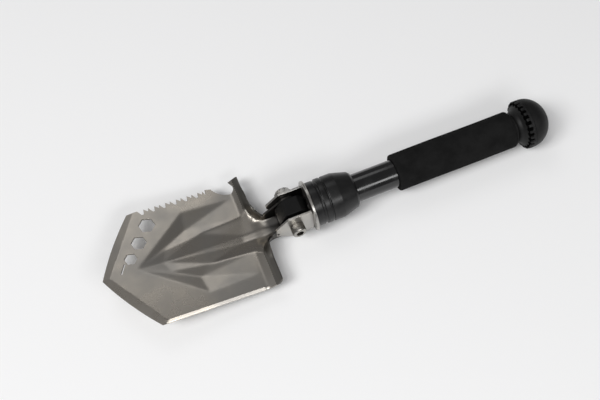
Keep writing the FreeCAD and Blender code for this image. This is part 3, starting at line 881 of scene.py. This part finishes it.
EAR_T = 2.0
EAR_OUT = span("yoke", 1)[1]
EAR_IN = EAR_OUT - EAR_T
EAR_HALF_H = span("yoke", 2)[1] - PIVOT_Z
NOSE_X = span("yoke", 0)[0]
STEM_HALF_H = 10.0
BASE_X = 10.0
BASE_T = 3.0
NOTCH_R = 2.2
BOLT_HOLE_R = 4.02


def faces_inward(polygon):
    """1 where a yoke face looks at the block, which gets painted shade: a darker copy of the steel between
    the ears.
    """
    return int(polygon.normal.y * (AXIS.y - polygon.center.y) > 0.9 * abs(AXIS.y - polygon.center.y))


def make_yoke():
    """The two ears and the base that joins them inside the collar."""
    bite = [(NOSE_X + NOTCH_R * math.cos(a), -4.0 + NOTCH_R * math.sin(a))
            for a in np.linspace(-math.pi / 2, math.pi / 2, 12)]
    end = BASE_X + BASE_T
    half = [(NOSE_X, 4.6), (NOSE_X + 12.1, EAR_HALF_H), (-0.4, EAR_HALF_H), (-0.4, STEM_HALF_H),
            (end, STEM_HALF_H)]
    shape = [(x, PIVOT_Z + z) for x, z in half] + [(x, PIVOT_Z - z) for x, z in reversed(half[:-1])]
    shape.insert(len(half), (end, PIVOT_Z - STEM_HALF_H))
    outline = rounded([bite[-1]] + shape[:-1] + [bite[0]], 1.0, 4) + bite[1:-1]
    hole = circle((PIVOT_X, PIVOT_Z), BOLT_HOLE_R, 48)
    for name, low in (("far_ear", EAR_IN), ("near_ear", -EAR_OUT)):
        points, faces = flat_plate(1, low, EAR_T, [outline, hole], rim=0.3)
        replaced = ["yoke"] if name == "far_ear" else []
        # The second material is painted shade on the faces between the ears.
        lit_and_shaded = [HARDWARE_STEEL, INNER_SHADE_STEEL]
        add_piece("yoke_" + name, points, faces, lit_and_shaded, "handle", replaced,
                  face_material=faces_inward)
    low = PIVOT_Z - STEM_HALF_H
    high = PIVOT_Z + STEM_HALF_H
    base = [(-EAR_IN, low), (EAR_IN, low), (EAR_IN, high), (-EAR_IN, high)]
    points, faces = flat_plate(0, BASE_X, BASE_T, [base, circle((0, 0), BOLT_HOLE_R, 48)], rim=0.2)
    add_piece("yoke_base", points, faces, HARDWARE_STEEL, "handle", [])


def make_ring():
    """Disc with a slot for each ear."""
    gap = 0.3
    loops = [circle((0, 0), (RING_HIGH.z - RING_LOW.z) / 2 / MM, 160), circle((0, 0), 8.0)]
    for side in (1, -1):
        y0 = side * (EAR_IN + EAR_OUT) / 2 - EAR_T / 2 - gap
        y1 = y0 + EAR_T + 2 * gap
        low = PIVOT_Z - STEM_HALF_H - gap
        high = PIVOT_Z + STEM_HALF_H + gap
        loops.append([(y0, low), (y1, low), (y1, high), (y0, high)])
    points, faces = flat_plate(0, 0.0, span("pressure_ring", 0)[1], loops, rim=0.45)
    add_piece("pressure_ring_plate", points, faces, HARDWARE_STEEL, "ring", ["pressure_ring"])


BLOCK_FRONT_X = -28.5
BLOCK_REAR_X = span("hinge_block", 0)[1]
CAM_R = 15.5
TONGUE_Z = 12.4
TONGUE_HALF = 8.0


def block_outline(low):
    """Side outline of the block above a height: rear flat, cam, top flat and sloping nose."""
    rear_turn = math.acos((BLOCK_REAR_X - PIVOT_X) / CAM_R)
    top_turn = math.asin((TONGUE_Z - PIVOT_Z) / CAM_R)
    points = [(BLOCK_FRONT_X, low), (BLOCK_REAR_X, low)]
    for a in np.linspace(rear_turn, top_turn, 16):
        points.append((PIVOT_X + CAM_R * math.cos(a), PIVOT_Z + CAM_R * math.sin(a)))
    nose = [points[-1], (-21.4, TONGUE_Z), (-26, 5.5), (BLOCK_FRONT_X, 1), points[0]]
    points += rounded(nose, 1.5, 5)[1:-1]
    return points


def make_block():
    """Narrow tongue above and, between the neck's sides, the wide foot and the bosses."""
    hole = circle((PIVOT_X, PIVOT_Z), BUSH_R, 48)
    points, faces = flat_plate(1, -TONGUE_HALF, 2 * TONGUE_HALF, [block_outline(NECK_FLOOR_Z + 3), hole],
                               rim=0.55)
    add_piece("hinge_tongue", points, faces, BLACK_CASTING, "blade_unit", ["hinge_block"])
    half = NECK_HALF - BLADE_T - 0.05
    for side in (1, -1):
        low = min(side * TONGUE_HALF, side * half)
        points, faces = flat_plate(1, low, half - TONGUE_HALF,
                                   [circle((PIVOT_X, PIVOT_Z), 9.0, 72), hole], rim=0.2)
        add_piece("block_boss", points, faces, BLACK_CASTING, "blade_unit", [])
    floor = NECK_FLOOR_Z + 0.05
    section = [(-KEEL_HALF, floor), (KEEL_HALF, floor), (half, KNEE_Z), (half, -7.0), (-half, -7.0),
               (-half, KNEE_Z)]
    points, faces = flat_plate(0, BLOCK_FRONT_X, BLOCK_REAR_X - BLOCK_FRONT_X, [section], rim=0.6)
    add_piece("block_foot", points, faces, BLACK_CASTING, "blade_unit", [])


BOLT_R = 4.0
KNURL_DEPTH = 0.10
SOCKET_HALF = 3.2
SOCKET_DEPTH = 5.0
THREAD_PITCH = 1.25
THREAD_ROOT_R = 3.45
NUT_FLATS = 13.4
ON_AXIS = 0.001


def on_hinge(points):
    """Turns points made about X into points about the hinge's axis."""
    return [(PIVOT_X + y, x, PIVOT_Z + z) for x, y, z in points]


def hex_prism(across_flats, low, high, chamfer):
    """Hexagonal nut body about X with its corners turned off."""
    points = []
    steps = 72
    layers = [(low, 0.985), (low + chamfer, 1.2), (high - chamfer, 1.2), (high, 0.985)]
    for x, share in layers:
        limit = across_flats / 2 * share
        points += polar_ring(x, steps, lambda i, a: min(hexagon_radius(across_flats / 2, a), limit))
    faces = []
    for layer in range(len(layers) - 1):
        faces += band_faces(steps, layer * steps, (layer + 1) * steps)
    return points, faces, steps


def close_with_socket(points, faces, steps, x, depth_x):
    """Closes the first ring with a hexagonal socket that goes in to depth_x."""
    first = len(points)
    for level in (x, depth_x):
        points += polar_ring(level, steps, lambda i, a: hexagon_radius(SOCKET_HALF, a))
    centre = len(points)
    points.append((depth_x, 0, 0))
    for i in range(steps):
        j = (i + 1) % steps
        faces.append((i, j, first + j, first + i))
        faces.append((first + i, first + j, first + steps + j, first + steps + i))
        faces.append((first + steps + i, first + steps + j, centre))


def make_bolt():
    """Knurled socket head on the plain side, and the threaded shank."""
    low, high = span("hinge_bolt", 1)
    head_r = (span("hinge_bolt", 0)[1] - span("hinge_bolt", 0)[0]) / 2
    steps = 96
    outer = [(low, head_r - 0.9), (low + 0.25, head_r - 0.45), (low + 0.9, head_r),
             (-EAR_OUT - 0.5, head_r), (-EAR_OUT, head_r - 0.35)]
    points = []
    faces = []
    for x, r in outer:
        knurl = KNURL_DEPTH if r == head_r else 0.0
        points += polar_ring(x, steps, lambda i, a: r - knurl * (i % 2))
    for layer in range(len(outer) - 1):
        faces += band_faces(steps, layer * steps, (layer + 1) * steps)
    close_with_socket(points, faces, steps, low, low + SOCKET_DEPTH)
    centre = len(points)
    points.append((-EAR_OUT, 0, 0))
    last = (len(outer) - 1) * steps
    faces += [(last + i, last + (i + 1) % steps, centre) for i in range(steps)]
    add_piece("hinge_bolt_head", on_hinge(points), faces, FASTENER_STEEL, "handle",
              ["hinge_bolt"])
    x = EAR_OUT + 1.0
    thread = [(-EAR_OUT, BOLT_R), (x, BOLT_R)]
    while x < high - THREAD_PITCH:
        thread += [(x + THREAD_PITCH * 0.5, THREAD_ROOT_R), (x + THREAD_PITCH, BOLT_R)]
        x += THREAD_PITCH
    thread += [(high - 0.5, BOLT_R - 0.1), (high, 3.3), (high, ON_AXIS)]
    shank, shank_faces = lathe([(-EAR_OUT, ON_AXIS)] + thread, 48)
    add_piece("hinge_bolt_shank", on_hinge(shank), shank_faces, FASTENER_STEEL, "handle",
              [])


def make_nut():
    """Hexagonal nut and its washer, on the saw side."""
    low, high = span("hinge_nut", 1)
    points, faces, steps = hex_prism(NUT_FLATS, low, high, 0.9)
    first = len(points)
    for x in (low, high):
        points += polar_ring(x, steps, lambda i, a: BOLT_R + 0.03)
    for i in range(steps):
        j = (i + 1) % steps
        faces.append((i, j, first + j, first + i))
        faces.append((3 * steps + i, 3 * steps + j, first + steps + j, first + steps + i))
        faces.append((first + i, first + j, first + steps + j, first + steps + i))
    add_piece("hinge_nut_body", on_hinge(points), faces, FASTENER_STEEL, "handle",
              ["hinge_nut"])
    low, high = span("nut_washer", 1)
    pivot = (PIVOT_X, PIVOT_Z)
    points, faces = flat_plate(1, low, high - low, [circle(pivot, 8.0, 96), circle(pivot, 4.05)],
                               rim=0.2)
    add_piece("hinge_nut_washer", points, faces, FASTENER_STEEL, "handle", ["nut_washer"])


# -------------------------------------------------------------------- handle ----

def make_collar():
    """Conical locking collar with turned grooves."""
    start, end = span("locking_collar", 0)
    r = span("locking_collar", 2)[1]
    outer = [
        (start, 18.6), (start, r - 0.5), (9.6, r - 0.5), (9.9, r - 1.2), (11.9, r - 1.2), (12.2, r),
        (16.7, r), (17.0, r - 1.0), (18.2, r - 1.0), (18.5, r), (28.0, r), (42.0, 16.5),
        (end, 14.4), (end, 13.1),
    ]
    outer = rounded(outer, 0.35, 4)
    inner = [(37.0, 13.1), (37.0, 16.66), (13.3, 16.66), (13.3, 18.6)]
    points, faces = lathe(outer + inner, 160)
    add_piece("locking_collar_shell", points, faces, BLACK_ANODISED, "collar", ["locking_collar"],
              sharp=35)


def make_tube():
    """Lacquered tube with open ends."""
    start, end = span("main_tube", 0)
    r = span("main_tube", 2)[1]
    outer = rounded([(start, 11.2), (start, r), (end, r), (end, 11.2)], 0.4, 4)
    points, faces = lathe(outer, 128)
    add_piece("main_tube_shell", points, faces, BLACK_LACQUER, "handle", ["main_tube"])


def make_grip():
    """Foam sleeve with rounded ends and a slightly uneven skin."""
    start, end = span("foam_grip", 0)
    r = span("foam_grip", 2)[1]
    bore = span("main_tube", 2)[1] + 0.02
    corners = [(start + 0.6, bore), (start, bore + 0.8), (start, r), (end, r), (end, bore + 0.8),
               (end - 0.6, bore)]
    outline = rounded(corners, 3.8, 8)
    outline = divided(outline, 1.1) + [outline[-1]]
    points, faces = lathe(outline, 144)
    rng = np.random.default_rng(7)
    waves = rng.uniform(-1, 1, (9, 4))
    shaped = []
    for x, y, z in points:
        radius = math.hypot(y, z)
        turn = math.atan2(z, y)
        swell = sum(w[0] * math.sin(x * (0.04 + 0.05 * abs(w[1])) + round(3 * w[2]) * turn + 6 * w[3])
                    for w in waves) * 0.035
        share = min(1.0, max(0.0, (radius - bore) / (r - bore)))
        scale = 1 + (swell - 0.12) * share / radius
        shaped.append((x, y * scale, z * scale))
    piece = add_piece("foam_grip_sleeve", shaped, faces, GRIP_FOAM, "handle", ["foam_grip"])


NOTCHES = 24
NOTCH_STEPS = 16
NOTCH_DEPTH = 2.2


def make_knob():
    """Flared base with a ring of notches, and the dome."""
    base_start, rim_end = span("knob_base", 0)
    r = span("knob_base", 2)[1]
    rim_start = rim_end - 6.0
    steps = NOTCHES * NOTCH_STEPS
    outline = rounded([
        (base_start, 6.2), (base_start, 13.2), (base_start + 1.2, 14.6), (base_start + 3.6, 16.2),
        (rim_start - 0.8, 19.4), (rim_start, r - 0.8), (rim_start + 0.8, r), (rim_end, r),
        (rim_end, 6.2),
    ], 0.6, 4)
    profile = divided(outline, 0.8) + [outline[-1]]
    points = []
    half = NOTCH_STEPS // 2
    for i in range(steps):
        turn = 2 * math.pi * i / steps
        phase = abs((i + half) % NOTCH_STEPS - half) / half
        cut = NOTCH_DEPTH * smooth_step(1 - phase, 0.42, 0.56)
        for x, radius in profile:
            zone = smooth_step(x, rim_start - 1.2, rim_start - 0.6)
            zone = zone * (1 - smooth_step(x, rim_start + 3.0, rim_start + 3.6))
            shown = radius - float(cut * zone) * (radius > 15)
            points.append((x, shown * math.cos(turn), shown * math.sin(turn)))
    faces = turned_faces(steps, len(profile))

    def in_notch(polygon):
        """1 on the floor and walls of a notch, which get painted shade."""
        x, y, z = (polygon.center - AXIS) / MM
        return int(rim_start - 0.6 < x < rim_start + 3.4 and 18.5 < math.hypot(y, z) < r - 1.0)

    add_piece("knob_base_shell", points, faces, [KNOB_PLASTIC, NOTCH_SHADE], "knob", ["knob_base"],
              sharp=40, face_material=in_notch)
    end = span("knob_cap", 0)[1]
    height = end - rim_end
    dome = [(rim_end + height * math.sin(a), r * math.cos(a)) for a in np.linspace(0, math.pi / 2, 40)]
    dome[-1] = (end, ON_AXIS)
    back = rim_end + 0.02
    points, faces = lathe([(back, ON_AXIS), (back, r - 0.3)] + dome, 160)
    add_piece("knob_dome", points, faces, KNOB_PLASTIC, "knob", ["knob_cap"], sharp=50)


CAD_FINISHES = {
    "block_screws": FASTENER_STEEL, "pivot_bush": BUSH_BRONZE, "threaded_hub": BLACK_ANODISED,
    "hub_grub_screws": FASTENER_STEEL, "yoke_screw": FASTENER_STEEL,
    "yoke_lock_washer": FASTENER_STEEL, "rear_plug": BLACK_ANODISED, "knob_o_ring": SEAL_RUBBER,
    "knob_stud": FASTENER_STEEL,
}


def finish_cad_nodes():
    """Gives the CAD pieces that stay their materials."""
    for name, material in CAD_FINISHES.items():
        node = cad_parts[name]
        for slot in node.material_slots:
            slot.material = material


# --------------------------------------------------------------------- stage ----

def make_floor():
    """White floor under the object."""
    mesh = bpy.data.meshes.new("floor")
    size = 3.0
    mesh.from_pydata([(-size, -size, 0), (size, -size, 0), (size, size, 0), (-size, size, 0)], [],
                     [(0, 1, 2, 3)])
    material = new_material("studio_floor", (0.90, 0.90, 0.90), roughness=0.8)
    mesh.materials.append(material)
    floor = bpy.data.objects.new("floor", mesh)
    bpy.context.scene.collection.objects.link(floor)


def make_light(name, place, target, size, power):
    """A white panel of a size in metres that faces the target."""
    data = bpy.data.lights.new(name, "AREA")
    data.shape = "RECTANGLE"
    data.size, data.size_y = size
    data.energy = power
    light = bpy.data.objects.new(name, data)
    light.location = place
    way = Vector(target) - Vector(place)
    light.rotation_euler = way.to_track_quat("-Z", "Y").to_euler()
    bpy.context.scene.collection.objects.link(light)


def on_sky(azimuth, elevation, distance):
    """A place above the object, by compass direction and height over the floor."""
    a = math.radians(azimuth)
    e = math.radians(elevation)
    way = Vector((math.cos(a) * math.cos(e), math.sin(a) * math.cos(e), math.sin(e)))
    return way * distance


def make_world():
    """Dim even surroundings, and a view transform that keeps a white floor white."""
    world = bpy.data.worlds.new("studio")
    world.use_nodes = True
    background = world.node_tree.nodes["Background"]
    background.inputs["Color"].default_value = (0.98, 0.98, 1.0, 1)
    background.inputs["Strength"].default_value = 0.19
    bpy.context.scene.world = world
    bpy.context.scene.view_settings.view_transform = "Standard"


def make_lights():
    """Key past the blade's end, fill and low window on the plain side, dim panel on the saw side."""
    middle = (0, 0, 0.02)
    make_light("key", on_sky(194, 49, 3.6), middle, (1.3, 1.3), 54)
    make_light("fill", on_sky(-140, 60, 3.6), middle, (1.4, 1.4), 38)
    make_light("window", on_sky(-80, 40, 2.4), middle, (1.9, 0.55), 17)
    make_light("panel", on_sky(92, 54, 1.8), middle, (0.8, 0.7), 1.9)


def make_camera():
    """Looks down at the handle from the plain side, rolled a little, with a short telephoto lens."""
    azimuth = -103.94
    elevation = 61.38
    roll = -8.48
    distance = 0.796
    target = AXIS + Vector((-0.0041, 0.0084, 0.0))
    data = bpy.data.cameras.new("camera")
    data.lens = 54
    data.sensor_width = 36
    data.clip_start = 0.01
    camera = bpy.data.objects.new("camera", data)
    back = on_sky(azimuth, elevation, 1.0)
    level = Vector((0, 0, 1)).cross(back).normalized()
    right = Matrix.Rotation(math.radians(roll), 3, back) @ level
    up = back.cross(right)
    rotation = Matrix((right, up, back)).transposed().to_4x4()
    camera.matrix_world = Matrix.Translation(target + back * distance) @ rotation
    bpy.context.scene.collection.objects.link(camera)
    bpy.context.scene.camera = camera


make_camera()
make_blade()
make_yoke()
make_ring()
make_block()
make_bolt()
make_nut()
make_collar()
make_tube()
make_grip()
make_knob()
finish_cad_nodes()
make_floor()
make_world()
make_lights()
